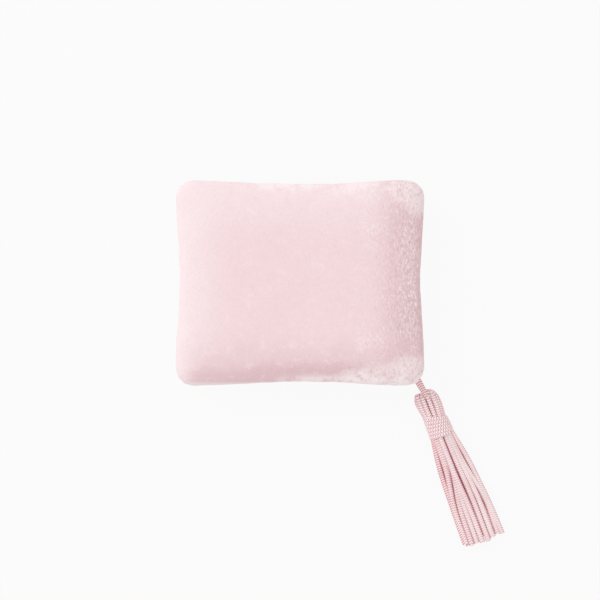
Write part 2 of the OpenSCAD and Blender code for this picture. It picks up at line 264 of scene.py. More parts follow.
def velvet_material():
    """Short silk pile, whose colour holds painted light and shade: painted light towards the rear and the
    left, painted shade towards the front and the right, and torn patches and flecks of painted highlight
    and shade.

    across and along run from -1 to 1 over the case, left to right and front to rear. u and v are the same
    with slow waves, and ut and vt with torn edges.
    """
    material, tree, shader = new_material("velvet_pink")
    place = object_place(tree)
    split = tree.nodes.new("ShaderNodeSeparateXYZ")
    put(tree, place, split.inputs[0])
    sway = sums(tree, "SUBTRACT", grain(tree, place, 18, 3, 0.5), 0.5)
    ragged = grain(tree, place, 3.4, 6, 0.68, 0.3)
    combed = tree.nodes.new("ShaderNodeVectorMath")
    combed.operation = "MULTIPLY"
    put(tree, place, combed.inputs[0])
    combed.inputs[1].default_value = (1.3, 0.55, 1.0)
    crush_and_sheen = grain(tree, combed.outputs["Vector"], 0.75, 4, 0.7, 0.4)
    pile = grain(tree, place, 0.30, 3, 0.75)
    tear = sums(tree, "SUBTRACT", ragged, 0.5)
    across = sums(tree, "MULTIPLY", split.outputs[0], 1 / (HALF_W * MM))
    along = sums(tree, "MULTIPLY", split.outputs[1], 1 / (HALF_D * MM))
    u = sums(tree, "MULTIPLY_ADD", tear, 0.10, sums(tree, "MULTIPLY_ADD", sway, 0.20, across))
    v = sums(tree, "MULTIPLY_ADD", tear, 0.10, sums(tree, "MULTIPLY_ADD", sway, 0.12, along))
    ut = sums(tree, "MULTIPLY_ADD", tear, 0.22, across)
    vt = sums(tree, "MULTIPLY_ADD", tear, 0.16, along)

    # pale and gleam paint light and highlights, and rosy and shadow paint shade; pale and rosy also give
    # the random mottling
    mid = rgb(244, 218, 221)
    pale = rgb(249, 231, 233)
    rosy = rgb(227, 195, 199)
    shadow = rgb(211, 170, 177)
    gleam = rgb(252, 240, 240)
    top = ramp(tree, split.outputs[2], (SEAM_Z + TOP_FROM) * MM, (SEAM_Z + TOP_FULL) * MM)
    glint_fleck = product(tree, ramp(tree, crush_and_sheen, 0.40, 0.62), top)
    patch = product(tree, ramp(tree, ragged, 0.36, 0.60), top)
    corner = tree.nodes.new("ShaderNodeVectorMath")
    corner.operation = "DISTANCE"
    put(tree, place, corner.inputs[0])
    corner.inputs[1].default_value = ((HALF_W - CREASE_SHADE_IN) * MM, (CREASE_SHADE_IN - HALF_D) * MM, SEAM_Z * MM)
    crease_shade = sums(tree, "SINE", sums(tree, "MULTIPLY", corner.outputs["Value"], TAU / (CREASE_SHADE_PITCH * MM)))

    glint_speckle = ramp(tree, crush_and_sheen, 0.30, 0.60, 0.55, 1.0)
    side_wall = sums(tree, "SUBTRACT", 1.0, top)
    layers = [
        # Painted light: paler towards the rear and the left. Painted shade: rosier towards the front and
        # the right
        (pale, product(tree, ramp(tree, v, 0.25, 0.98), 0.55)),
        (pale, product(tree, ramp(tree, u, -0.50, -0.98), 0.90)),
        (rosy, product(tree, ramp(tree, v, -0.45, -0.92), ramp(tree, u, -1.10, -0.72), 0.60)),
        (rosy, product(tree, ramp(tree, ut, 0.50, 0.92), ramp(tree, crush_and_sheen, 0.25, 0.60, 0.75, 1.0))),
        # Shade along the right side, and along the front
        (shadow, product(
            tree, ramp(tree, ut, 0.66, 0.90), strip(tree, v, -0.75, -0.3, 0.35, 0.85), patch, 0.40)),
        (shadow, product(
            tree, strip(tree, vt, -1.04, -0.95, -0.91, -0.78),
            strip(tree, u, -1.10, -0.84, -0.30, 0.05), 0.22)),
        (shadow, product(
            tree, strip(tree, vt, -0.94, -0.89, -0.86, -0.72), strip(tree, u, -0.5, 0.0, 0.4, 0.75), 0.35)),
        # Painted highlights: torn patches along the front edge, and a pale rim along its left half
        (gleam, product(tree, ramp(tree, vt, -0.86, -0.94), ramp(tree, u, -0.32, 0.05), patch, 0.92)),
        (gleam, product(
            tree, ramp(tree, vt, -0.76, -0.88), strip(tree, u, 0.26, 0.46, 0.74, 0.92), patch, 0.74)),
        (pale, product(tree, ramp(tree, along, -0.955, -0.985), ramp(tree, u, 0.15, -0.2), 0.75)),
        # Painted highlights in torn patches along the rear edge
        (gleam, product(
            tree, ramp(tree, vt, 0.86, 0.96), strip(tree, u, -0.42, -0.2, 0.1, 0.25), patch, 0.95)),
        (gleam, product(
            tree, ramp(tree, vt, 0.78, 0.96), strip(tree, u, 0.15, 0.35, 0.80, 0.92), patch, 0.76)),
        # Painted highlights: a line of flecks down the right side, and the two pale corners at its ends
        (gleam, product(
            tree, strip(tree, ut, 0.74, 0.88, 0.90, 1.0),
            strip(tree, v, -0.8, -0.3, 0.3, 0.9), glint_fleck, 0.50)),
        (gleam, product(tree, spot(tree, ut, vt, (0.95, 0.88), (0.19, 0.28)), glint_speckle, 0.66)),
        (gleam, product(tree, spot(tree, ut, vt, (0.90, -0.88), (0.24, 0.22)), glint_speckle, 0.64)),
        # Painted shade of creases in rings round the loop's corner, and mottled side walls
        (rosy, product(tree, spot(tree, across, along, (0.93, -0.91), (0.12, 0.14)), crease_shade, top, 0.40)),
        (rosy, product(tree, side_wall, ramp(tree, ragged, 0.62, 0.38), 0.34)),
        # Small places of painted light and painted highlight
        (pale, product(tree, spot(tree, ut, vt, (-1.0, -0.92), (0.14, 0.30)), 0.5)),
        (gleam, product(tree, spot(tree, ut, vt, (0.56, 0.53), (0.14, 0.08)), glint_fleck, 0.35)),
        (gleam, product(tree, spot(tree, ut, vt, (0.55, -0.57), (0.18, 0.08)), glint_fleck, 0.35)),
        # Flecks of painted highlight and painted shade, which thin out towards the middle
        (gleam, product(tree, ramp(tree, crush_and_sheen, 0.52, 0.68), ramp(tree, ut, 0.34, 0.76), 0.50)),
        (shadow, product(tree, ramp(tree, crush_and_sheen, 0.47, 0.32), ramp(tree, ut, 0.44, 0.80), 0.45)),
        (gleam, product(tree, ramp(tree, crush_and_sheen, 0.60, 0.74), ramp(tree, vt, -0.55, -0.85), 0.30)),
        # Faint mottling all over
        (pale, product(tree, ramp(tree, ragged, 0.52, 0.68), 0.38)),
        (rosy, product(tree, ramp(tree, ragged, 0.46, 0.30), 0.14)),
        (mid, product(tree, spot(tree, across, along, (-1.0, 1.0), (0.34, 0.40)), 0.15)),
    ]
    colour = mid
    for tone, amount in layers:
        colour = mix(tree, amount, colour, tone)
    fine_shade = ramp(tree, pile, 0.25, 0.75, 0.93, 1.035)
    coarse_shade = ramp(tree, crush_and_sheen, 0.2, 0.8, 0.965, 1.03)
    shade = product(tree, fine_shade, coarse_shade)
    tint = tree.nodes.new("ShaderNodeVectorMath")
    tint.operation = "SCALE"
    put(tree, colour, tint.inputs[0])
    put(tree, shade, tint.inputs["Scale"])
    tree.links.new(tint.outputs[0], shader.inputs["Base Color"])
    shader.inputs["Roughness"].default_value = 0.9
    shader.inputs["Specular IOR Level"].default_value = 0.1
    shader.inputs["Sheen Weight"].default_value = 0.25
    shader.inputs["Sheen Roughness"].default_value = 0.5
    shader.inputs["Sheen Tint"].default_value = (1.0, 0.94, 0.95, 1)
    height = sums(tree, "MULTIPLY_ADD", crush_and_sheen, 0.6, sums(tree, "MULTIPLY", pile, 0.5))
    bump(tree, shader, height, 0.14, 0.5)
    return material


def cord_material(name, ridge, groove, painted_glow, painted_top_glow=0.0):
    """Silky rayon with painted light: ribs lightened as painted highlights, grooves deepened to rose as
    painted shade, and a painted rose glow standing for the light in its gaps.

    painted_top_glow adds painted glow where the cord faces up, for cords that lie under others.
    """
    material, tree, shader = new_material(name)
    place = object_place(tree)
    filament = grain(tree, place, 0.12, 2, 0.6)
    drift = grain(tree, place, 6, 2, 0.5)
    relief = attribute(tree, "relief")
    # Painted highlight on the ribs, and painted shade in the grooves and along the sides of cords
    colour = mix(tree, ramp(tree, relief, 0.05, 0.85), groove, ridge)
    colour = mix(tree, ramp(tree, drift, 0.35, 0.7, 0.0, 0.12), colour, groove)
    put(tree, colour, shader.inputs["Base Color"])
    shader.inputs["Roughness"].default_value = 0.42
    shader.inputs["Specular IOR Level"].default_value = 0.4
    shader.inputs["Sheen Weight"].default_value = 0.25
    shader.inputs["Sheen Roughness"].default_value = 0.3
    shader.inputs["Sheen Tint"].default_value = (1.0, 0.9, 0.92, 1)
    # Painted light: a faint rose glow over the whole cord
    rose = rgb(205, 92, 108)
    shader.inputs["Emission Color"].default_value = rose
    shader.inputs["Emission Strength"].default_value = painted_glow + painted_top_glow
    # Painted light: more glow on the upward faces of cords that lie under others, in the gaps above them
    if painted_top_glow:
        facing = tree.nodes.new("ShaderNodeSeparateXYZ")
        put(tree, tree.nodes.new("ShaderNodeTexCoord").outputs["Normal"], facing.inputs[0])
        dim = tuple(c * painted_glow / (painted_glow + painted_top_glow) for c in rose[:3]) + (1,)
        upward = ramp(tree, facing.outputs[2], 0.1, 0.75)
        put(tree, mix(tree, upward, dim, rose), shader.inputs["Emission Color"])
    bump(tree, shader, filament, 0.03, 0.6)
    return material


# ---------------------------------------------------------------- mesh helpers

def add_mesh(name, points_mm, faces, material, relief=None):
    """A smooth shaded piece. relief is stored for its material, which paints shade by it: 1 on its ribs, 0
    in its grooves, and for cords lower along their sides as painted shade.
    """
    mesh = bpy.data.meshes.new(name)
    points = np.asarray(points_mm, float) * MM
    mesh.from_pydata(points.tolist(), [], faces)
    mesh.materials.append(material)
    if relief is not None:
        layer = mesh.attributes.new("relief", "FLOAT", "POINT")
        layer.data.foreach_set("value", np.asarray(relief, np.float32))
    mesh.polygons.foreach_set("use_smooth", [True] * len(mesh.polygons))
    mesh.update()
    piece = bpy.data.objects.new(name, mesh)
    bpy.context.collection.objects.link(piece)
    return piece


def ring_faces(rings, around, closed=False):
    """Quads between rings of points that run anticlockwise seen from the last ring."""
    faces = []
    for i in range(rings if closed else rings - 1):
        a = i * around
        b = ((i + 1) % rings) * around
        for j in range(around):
            k = (j + 1) % around
            faces.append((a + j, a + k, b + k, b + j))
    return faces


def tube_faces(rings, around):
    """Faces of a tube of rings, closed at both ends."""
    faces = ring_faces(rings, around)
    faces.append(tuple(reversed(range(around))))
    faces.append(tuple((rings - 1) * around + j for j in range(around)))
    return faces


def unit_rows(rows):
    return rows / np.linalg.norm(rows, axis=1)[:, None]


def smooth_noise(x, y, z, size_mm, seed=0.0):
    return noise.noise(Vector((x / size_mm + seed, y / size_mm - seed, z / size_mm)))


# ---------------------------------------------------------------- velvet covers

# The sides draw in this far between the corners
PINCH_X, PINCH_Y = 1.2, 1.05
CORNER_R = 6.3
CORNER_R_LEAST = 3
# Points along a corner and along a side
ARC_STEPS, SIDE_STEPS = 18, 40
QUARTERS = [(1, 1), (-1, 1), (-1, -1), (1, -1)]
VELVET_T = 0.62
# The rolled edge takes this much of the plan, up to this height, and the skin turns in this far at the seam
EDGE_RUN = 3.7
SIDE_H = 5.35
MOUTH = 4.3
TURN_IN_H = 1.5
SEAM_GAP = 0.15
FLOOR_GAP = 0.02
# The hinge barrels' place at the rear: how far from the seam, how far to each side and how deep
NOTCH_H = 1.8
NOTCH_X = 20.6
NOTCH_Y = 7
NOTCH_EASE = 0.6
# Gathers fan out from a point this far in from both sides: their rate round it, in radians of wave to a
# radian, their depth, and the height that they fade over
GATHER_IN = 11
GATHER_RATE = 22
GATHER_DEPTH = 0.16
GATHER_FADE = 3.4
# The skin is simulated this much larger than life, where Blender's cloth settings behave as written
SIM_SCALE = 6
SIM_CELL = 2.0
SIM_FRAMES = 20
# It is held fast near the seam and hangs free from this height on
FREE_H = 3.2
# This share of the cloth's unevenness is kept, up to these limits
SWELL_SHARE = 0.24
SWELL_OUT, SWELL_IN = 0.45, 0.35


def draw_in(along, reach, depth):
    """How far a side is drawn in: depth at its middle, easing to 0 at reach."""
    q = np.clip(np.abs(along) / reach, 0, 1)
    return depth * (1 + np.cos(math.pi * q)) / 2


def outline(inset):
    """Rounded rectangle with drawn-in sides, moved in by inset all round, anticlockwise from above."""
    hw, hd = HALF_W - inset, HALF_D - inset
    r = max(CORNER_R - 0.6 * inset, CORNER_R_LEAST)
    points = []
    for q, (sx, sy) in enumerate(QUARTERS):
        centre = np.array([sx * (hw - r), sy * (hd - r)])
        for k in range(ARC_STEPS + 1):
            a = (q + k / ARC_STEPS) * math.pi / 2
            points.append(centre + r * np.array([math.cos(a), math.sin(a)]))
        nx, ny = QUARTERS[(q + 1) % 4]
        a = (q + 1) * math.pi / 2
        start = points[-1]
        end = np.array([nx * (hw - r), ny * (hd - r)]) + r * np.array([math.cos(a), math.sin(a)])
        for m in range(1, SIDE_STEPS):
            points.append(start + (end - start) * m / SIDE_STEPS)
    p = np.array(points)
    x, y = p.T
    pinched_x = x - np.sign(x) * draw_in(y, hd - r, PINCH_X) * np.minimum(abs(x) / hw, 1)
    pinched_y = y - np.sign(y) * draw_in(x, hw - r, PINCH_Y) * np.minimum(abs(y) / hd, 1)
    return np.stack([pinched_x, pinched_y], axis=1)


def half_profile(skin_t, height, power, reach):
    """One half of the case from its mouth to its middle, as (inset, height above the seam)."""
    profile = []
    for a in np.linspace(0, math.pi / 2, 16):
        inset = skin_t + (EDGE_RUN - skin_t) * (1 - math.sin(a))
        profile.append((inset, skin_t + (SIDE_H - skin_t) * (1 - math.cos(a))))
    rise = height - SIDE_H - skin_t
    for q in np.linspace(0, 1, 30)[1:]:
        inset = reach * q**1.7
        level = (1 - (1 - inset / reach) ** power) ** (1 / power)
        profile.append((skin_t + inset, SIDE_H + rise * level))
    return profile


def cover_rings(skin_t, height, power, reach, turn_in):
    """Rings of points from the seam to the middle of one face, skin_t inside the cover's outer surface."""
    profile = half_profile(skin_t, height, power, reach)
    if turn_in:
        # Down inside the mouth, and round to the seam
        profile = [(MOUTH, TURN_IN_H), (MOUTH, 0.25), (MOUTH - 0.2, 0.0)] + profile
    around = 4 * (ARC_STEPS + SIDE_STEPS)
    rings = [np.column_stack([outline(inset), np.full(around, h)]) for inset, h in profile]
    top = rings[-1]
    for shrink in (0.75, 0.5, 0.25, 0.04):
        ring = top.copy()
        ring[:, :2] *= shrink
        rings.append(ring)
    return rings


def ruffle(points, height, flat):
    """Low waves in the padding, and short gathers where the velvet turns each corner."""
    moved = points.copy()
    for n, (x, y, h) in enumerate(points):
        if in_notch(x, y, h):
            continue
        swell = 0.22 * smooth_noise(x, y, h, 15, 3.1) + 0.10 * smooth_noise(x, y, h, 6, 7.7)
        corner = max(0.0, abs(x) / HALF_W - 0.72) * max(0.0, abs(y) / HALF_D - 0.68) * 11
        angle = math.atan2(abs(y) - HALF_D + GATHER_IN, abs(x) - HALF_W + GATHER_IN)
        wave = math.sin(GATHER_RATE * angle + 4 * smooth_noise(x, y, h, 5, 1.3))
        gather = min(corner, 1.0) * GATHER_DEPTH * wave
        gather *= math.exp(-((h - SIDE_H * 1.15) / GATHER_FADE) ** 2)
        away = np.array([x / HALF_W, y / HALF_D, (h - SIDE_H) / height])
        away /= max(np.linalg.norm(away), 1e-6)
        amount = swell * min(h / 3.0, 1.0) + gather
        if flat and h > height - 0.6:
            amount = min(amount, 0) * 0.15
        moved[n] = (x + away[0] * amount, y + away[1] * amount, h + away[2] * amount)
    return moved


def cloth_object(points, around):
    """The closed skin as an evenly meshed object for the simulation, held along the seam."""
    mesh = bpy.data.meshes.new("skin_sim")
    mesh.from_pydata((points * MM * SIM_SCALE).tolist(), [], tube_faces(len(points) // around, around))
    skin = bpy.data.objects.new("skin_sim", mesh)
    bpy.context.scene.collection.objects.link(skin)
    remesh = skin.modifiers.new("remesh", "REMESH")
    remesh.mode = "VOXEL"
    remesh.voxel_size = SIM_CELL * MM * SIM_SCALE
    even = bpy.data.meshes.new_from_object(skin.evaluated_get(bpy.context.evaluated_depsgraph_get()))
    skin.modifiers.remove(remesh)
    skin.data = even
    held = skin.vertex_groups.new(name="held")
    for vertex in even.vertices:
        height = vertex.co.z / (MM * SIM_SCALE)
        held.add([vertex.index], float(np.clip(FREE_H - height, 0, 1)), "REPLACE")
    return skin


def corners_of(mesh):
    """The mesh's points, back in millimetres at life size."""
    flat = np.empty(len(mesh.vertices) * 3, np.float32)
    mesh.vertices.foreach_get("co", flat)
    return flat.reshape(-1, 3).astype(float) / (MM * SIM_SCALE)


def billow(points, around):
    """The skin run as a cloth, held along the seam and cut a little large, with padding pressing it out.

    Each ring keeps its average place, so the case keeps its size, and no point moves past the limits.
    """
    skin = cloth_object(points, around)
    cloth = skin.modifiers.new("cloth", "CLOTH")
    settings = cloth.settings
    settings.vertex_group_mass = "held"
    settings.quality = 5
    settings.mass = 0.3
    settings.tension_stiffness = 15
    settings.compression_stiffness = 15
    settings.bending_stiffness = 0.1
    settings.shrink_min = -0.03
    settings.use_pressure = True
    settings.uniform_pressure_force = 0.3
    settings.effector_weights.gravity = 0
    cloth.collision_settings.use_collision = False
    scene = bpy.context.scene
    for step in range(1, SIM_FRAMES + 1):
        scene.frame_set(step)
    start = corners_of(skin.data)
    pressed = skin.evaluated_get(bpy.context.evaluated_depsgraph_get()).to_mesh()
    shift = corners_of(pressed) - start
    scene.frame_set(1)
    bpy.data.objects.remove(skin)

    tree = KDTree(len(start))
    for n, at in enumerate(start):
        tree.insert(at, n)
    tree.balance()
    moved = np.zeros_like(points)
    for n, at in enumerate(points):
        near = tree.find_n(at, 6)
        weight = np.array([1 / (0.4 + distance**2) for _, _, distance in near])
        moved[n] = weight @ shift[[index for _, index, _ in near]] / weight.sum()
    outward = unit_rows((points - [0, 0, 4]) / [HALF_W, HALF_D, 6])
    along = (moved * outward).sum(axis=1).reshape(-1, around)
    along -= along.mean(axis=1)[:, None]
    limited = np.clip(SWELL_SHARE * along, -SWELL_IN, SWELL_OUT).reshape(-1, 1)
    return points + outward * limited


def in_notch(x, y, h):
    """Whether a point lies where the hinge barrels are."""
    return abs(x) < NOTCH_X + NOTCH_EASE and y > HALF_D - NOTCH_Y and h <= NOTCH_H + 0.01


def clear_hinge(points):
    """The rolled edge stops short of the seam where the hinge barrels are."""
    x, y, h = points.T
    ease = np.clip((NOTCH_X + NOTCH_EASE - np.abs(x)) / NOTCH_EASE, 0, 1) * (y > HALF_D - NOTCH_Y)
    return np.column_stack([x, y, np.maximum(h, NOTCH_H * ease)])


def make_cover(name, material, up):
    """A skin with an outer and an inner surface, joined round its mouth.

    up is 1 for the lid, whose height runs up from the seam, and -1 for the base. The lid is crowned far in
    towards its middle, and the base is flat where it stands.
    """
    height = (LID_HIGH[2] - SEAM_Z if up > 0 else SEAM_Z) - SEAM_GAP
    power, reach = (3.3, 31.0) if up > 0 else (4.2, 15.0)
    outer = cover_rings(0.0, height, power, reach, True)
    inner = cover_rings(VELVET_T, height, power, reach, False)
    around = len(outer[0])
    cap = len(outer) - 1
    outer = ruffle(clear_hinge(np.concatenate(outer)), height, up < 0)
    outer = billow(outer, around)
    inner = clear_hinge(np.concatenate(inner[::-1]))
    points = np.concatenate([outer, inner])
    faces = ring_faces(len(points) // around, around, closed=True)
    # The two surfaces aren't joined at the middle: each is closed there by one face
    faces = [f for i, f in enumerate(faces) if not cap * around <= i < (cap + 1) * around]
    faces.append(tuple(cap * around + j for j in range(around)))
    faces.append(tuple((cap + 1) * around + j for j in reversed(range(around))))
    if up > 0:
        points[:, 2] = SEAM_Z + SEAM_GAP + points[:, 2]
    else:
        points[:, 2] = np.maximum(SEAM_Z - SEAM_GAP - points[:, 2], FLOOR_GAP)
        faces = [tuple(reversed(f)) for f in faces]
    return add_mesh(name, points, faces, material)


# ---------------------------------------------------------------- knitted cord

# Stitches: their length, their depth as a share of the radius, how far each V leans, and the columns
RIB_PITCH = 0.82
RIB_DEPTH = 0.13
RIB_LEAN = 0.42
COLUMNS = 4
# The wound band's stitches are deeper and lean more
WOUND_DEPTH = 1.6 * RIB_DEPTH
WOUND_LEAN = 0.6
# Cut end of a cord, closing in: share of the radius, how far it stands out, and how light it is
CUT_END = [(0.92, 0.10, 0.75), (0.6, 0.18, 0.6), (0.2, 0.14, 0.45)]


def smooth_path(points, step):
    """Points about step apart on a Catmull-Rom curve through the given ones, and how far along each is."""
    p = np.array(points, float)
    p = np.vstack([2 * p[0] - p[1], p, 2 * p[-1] - p[-2]])
    dense = []
    for i in range(1, len(p) - 2):
        for t in np.linspace(0, 1, 24, endpoint=False):
            dense.append(
                0.5 * (2 * p[i] + (p[i + 1] - p[i - 1]) * t
                       + (2 * p[i - 1] - 5 * p[i] + 4 * p[i + 1] - p[i + 2]) * t * t
                       + (3 * p[i] - p[i - 1] - 3 * p[i + 1] + p[i + 2]) * t**3)
            )
    dense.append(p[-2])
    dense = np.array(dense)
    run = np.concatenate([[0], np.cumsum(np.linalg.norm(np.diff(dense, axis=0), axis=1))])
    at = np.linspace(0, run[-1], max(3, int(round(run[-1] / step)) + 1))
    return np.stack([np.interp(at, run, dense[:, k]) for k in range(3)], axis=1), at


def stitch_columns(around):
    """Round a cord: the angle, the place in a column of stitches, and how the column falls at its edges."""
    theta = np.arange(around) / around * TAU
    column = np.abs(((theta / TAU * COLUMNS + 0.5) % 1) - 0.5) * 2
    lane = 1 - np.maximum(0, column - 0.7) * 1.2
    return theta, column, lane


def knitted(
    name, route, radius, material, flat, around=16, phase=0.0, taper=None, pitch=RIB_PITCH, relief_share=1.0
):
    """A chainette cord and its centre line: an oval tube whose stitches make columns of small V ribs.

    flat is its height over its width, and relief_share is how much of its tone follows the stitches.
    """
    line, run = smooth_path(route, pitch / 6)
    ahead = unit_rows(np.gradient(line, axis=0))
    side = np.cross(ahead, [0, 0, 1.0])
    weak = np.linalg.norm(side, axis=1) < 0.05
    side[weak] = side[~weak][0] if (~weak).any() else [1, 0, 0]
    for i in range(1, len(side)):
        if side[i] @ side[i - 1] < 0:
            side[i] = -side[i]
    side = unit_rows(side)
    up = np.cross(side, ahead)
    theta, column, lane = stitch_columns(around)
    lean = column * RIB_LEAN
    wave = np.clip(0.6 + 0.9 * np.cos(TAU * (run[:, None] / pitch - lean[None, :]) + phase), 0, 1)
    relief = wave * lane[None, :]
    edge_shade = 1 - 0.85 * np.abs(np.cos(theta)) ** 8
    tone = (1 - relief_share * (1 - relief)) * edge_shade[None, :]
    wide = np.full(len(run), radius) if taper is None else radius * taper(run / run[-1])
    r = wide[:, None] * (1 - RIB_DEPTH + RIB_DEPTH * relief)
    ring = (
        line[:, None, :]
        + side[:, None, :] * (r * np.cos(theta))[:, :, None]
        - up[:, None, :] * (r * flat * np.sin(theta))[:, :, None]
    )
    for shrink, reach, depth in CUT_END:
        cut = line[-1] + (ring[len(line) - 1] - line[-1]) * shrink + ahead[-1] * reach
        ring = np.concatenate([ring, cut[None]])
        tone = np.concatenate([tone, np.full((1, around), depth)])
    faces = tube_faces(len(ring), around)
    return add_mesh(name, ring.reshape(-1, 3), faces, material, tone.reshape(-1)), line


# ---------------------------------------------------------------- tassel

# The tassel's frame: along it from its pivot, and across it
TASSEL_ANGLE = math.radians(-68.5)
ALONG = np.array([math.cos(TASSEL_ANGLE), math.sin(TASSEL_ANGLE), 0])
ACROSS = np.array([-math.sin(TASSEL_ANGLE), math.cos(TASSEL_ANGLE), 0])
CORD_R = 1.0
CORD_FLAT = 0.82
HEAD_CORD_R = 0.9
NECK_Z = 4.5
# How far from the pivot the band and the skirt's cords begin and end
BAND_FROM, BAND_TO = 6.9, 14.4
SKIRT_FROM, SKIRT_TO = 12.6, 53.0


def tassel_point(s, w, z):
    """s along the tassel from its pivot, w to its right with the band at the top, z from the floor."""
    return np.array([PIVOT[0], PIVOT[1], 0]) + ALONG * s + ACROSS * w + np.array([0, 0, z])


# Upper cords of the skirt from left to right: how far across they lie in the neck, after a third of
# their length, after two thirds and at the cut end, and how much lower than its neighbours each lies
UPPER_CORDS = [
    (-2.9, -4.95, -5.8, -6.2, 0.3),
    (-2.4, -3.1, -5.0, -5.6, 0.1),
    (-1.4, -2.6, -4.9, -5.2, 1.0),
    (-0.8, -0.95, -3.2, -4.1, 0.0),
    (-0.7, -0.85, -1.75, -2.2, 0.4),
    (-0.7, -0.75, -0.1, -0.3, 0.2),
    (1.35, 1.55, 2.1, 1.9, 0.0),
    (2.0, 2.9, 4.0, 3.8, 0.1),
    (2.4, 3.8, 6.1, 5.7, 0.5),
    (3.4, 5.8, 6.85, 7.3, 0.5),
]
# Lower rows of cords: how many, and their height at the cut ends and in the neck
LOWER_ROWS = [(8, 2.9, 4.6), (7, 0.85, 2.3)]


def skirt_cord(name, places, end, heights, wobble, material, rng):
    """One cord. places are its four positions across, heights are those in the neck and at the end."""
    length = end - SKIRT_FROM
    phase, sway = rng.uniform(0, TAU, 2)
    across, _ = smooth_path([(i / 3, place, 0) for i, place in enumerate(places)], 0.02)
    steps = 14
    route = []
    for k in range(steps + 1):
        q = k / steps
        waver = wobble * math.sin(TAU * q + sway) * math.sin(math.pi * q)
        w = np.interp(q, across[:, 0], across[:, 1]) + waver
        fall = min(1, 1.3 * q) ** 0.85
        z = heights[0] + (heights[1] - heights[0]) * fall + 0.18 * math.sin(TAU * 0.8 * q + phase) * q
        route.append(tassel_point(SKIRT_FROM + length * q, w, max(z, CORD_R * 0.85)))
    radius = CORD_R * rng.uniform(0.96, 1.05)
    piece, line = knitted(
        name, route, radius, material, flat=CORD_FLAT, phase=phase,
        pitch=RIB_PITCH * rng.uniform(0.98, 1.10), relief_share=rng.uniform(0.5, 1.0),
    )
    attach(piece, "tassel")
    return piece


def make_skirt(material, under_material):
    """Ten upper cords placed one by one, and two rows below them spread evenly with a little disorder."""
    rng = np.random.default_rng(11)
    for i, (*places, lower) in enumerate(UPPER_CORDS):
        f = places[3] / 7.6
        arch = math.sqrt(max(0, 1 - (places[0] - 0.3) ** 2 / 12.5))
        heights = (NECK_Z + 2.5 * arch - 0.3 * lower, 4.0 - 0.8 * f * f - lower)
        end = SKIRT_TO + 1.7 - 1.3 * abs(f - 0.15) + rng.uniform(-0.6, 0.6)
        piece = skirt_cord(f"skirt_cord_1_{i + 1}", places, end, heights, 0.12, material, rng)
        if i == 0:
            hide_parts("tassel_skirt")
    for row, (count, end_z, neck_z) in enumerate(LOWER_ROWS):
        for i in range(count):
            f = 2 * i / (count - 1) - 1
            places = [0.3 + 2.7 * f, 0.3 + 4.6 * f, 0.4 + 5.7 * f, 0.6 + 6.2 * f]
            end = SKIRT_TO - 0.3 + 0.5 * f + rng.uniform(-1.0, 0.5)
            name = f"skirt_cord_{row + 2}_{i + 1}"
            sag = 0.7 * f * f if row == 0 else 0
            skirt_cord(name, places, end, (neck_z, end_z - sag), 0.4, under_material, rng)


# Cords folded over the loop, side by side: place across, how far past the pivot, half the fold's height
FOLDS = [
    (-3.0, -2.15, 2.4), (-1.55, -1.5, 2.9), (-0.6, 0.0, 1.7), (0.35, -0.55, 3.0),
    (0.85, -2.1, 2.2), (2.15, -1.75, 2.9), (3.0, -0.5, 1.8),
]
# Outline of each outer bundle, seen from above, as (along, across)
LOBES = [
    [
        (8.5, 3.0), (5.5, 3.35), (2.6, 3.5), (0.2, 3.15), (-1.3, 2.25),
        (-1.75, 1.2), (-1.2, 0.4), (0.2, 0.1), (2.0, 0.2),
    ],
    [
        (8.5, -2.7), (5.5, -3.05), (2.4, -3.6), (0.2, -3.7), (-1.2, -3.0),
        (-1.5, -2.0), (-0.8, -1.2), (0.6, -0.9), (2.2, -0.9),
    ],
]
# Height of each layer of a bundle above the neck's middle
LOBE_LAYERS = (-1.1, 0.75)
HEAD_RELIEF = 0.85


def head_cord(name, route, material, phase):
    piece, _ = knitted(
        name, route, HEAD_CORD_R, material, flat=1.0, phase=phase, relief_share=HEAD_RELIEF
    )
    return piece


def make_head(material):
    """Cords folded over the loop from under the band, with a rounded bundle at each side."""
    deep = BAND_FROM + 2.0
    bend = 1.7 * HEAD_CORD_R
    pieces = []
    for i, (w, top, half) in enumerate(FOLDS):
        shoulder = max(top + 2.6, 1.4)
        route = [
            (deep, w * 0.8, 0.72 * half), (BAND_FROM - 1.0, w * 0.92, 0.92 * half), (3.6, w, half),
            (shoulder, w, half), (top + bend * 0.5, w, 0.78 * half), (top + HEAD_CORD_R, w, 0.0),
            (top + bend * 0.5, w, -0.78 * half), (shoulder, w, -0.95 * half), (3.6, w, -0.95 * half),
            (deep, w * 0.8, -0.75 * half),
        ]
        route = [tassel_point(s, across, NECK_Z + z) for s, across, z in route]
        pieces.append(head_cord(f"head_cord_{i + 1}", route, material, i * 1.3))
    for i, lobe in enumerate(LOBES):
        for j, z in enumerate(LOBE_LAYERS):
            route = [tassel_point(s, w, NECK_Z + z) for s, w in lobe]
            pieces.append(head_cord(f"head_side_{i + 1}_{j + 1}", route, material, i + j))
    for piece in pieces:
        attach(piece, "tassel")
    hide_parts("tassel_head")


def make_band(material):
    """One cord wound round the neck, its turns side by side and a little askew."""
    turns = 5.5
    radius = 0.78
    per_turn = 20
    count = int(turns * per_turn)
    pitch = (BAND_TO - BAND_FROM - 2 * radius + 0.7) / turns
    route = []
    for k in range(count + 1):
        q = k / count
        a = TAU * (k / per_turn + 0.62)
        w = (3.5 + 0.3 * q) * math.sin(a)
        s = BAND_FROM - 0.2 + radius + pitch * k / per_turn + 0.24 * w * (1 - q)
        route.append(tassel_point(s, 0.2 + 1.04 * w, NECK_Z + (3.5 - 0.3 * q) * math.cos(a)))
    line, run = smooth_path(route, RIB_PITCH / 6)
    piece = wound("band_cord", line, run, radius, material)
    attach(piece, "tassel")
    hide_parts("tassel_band")


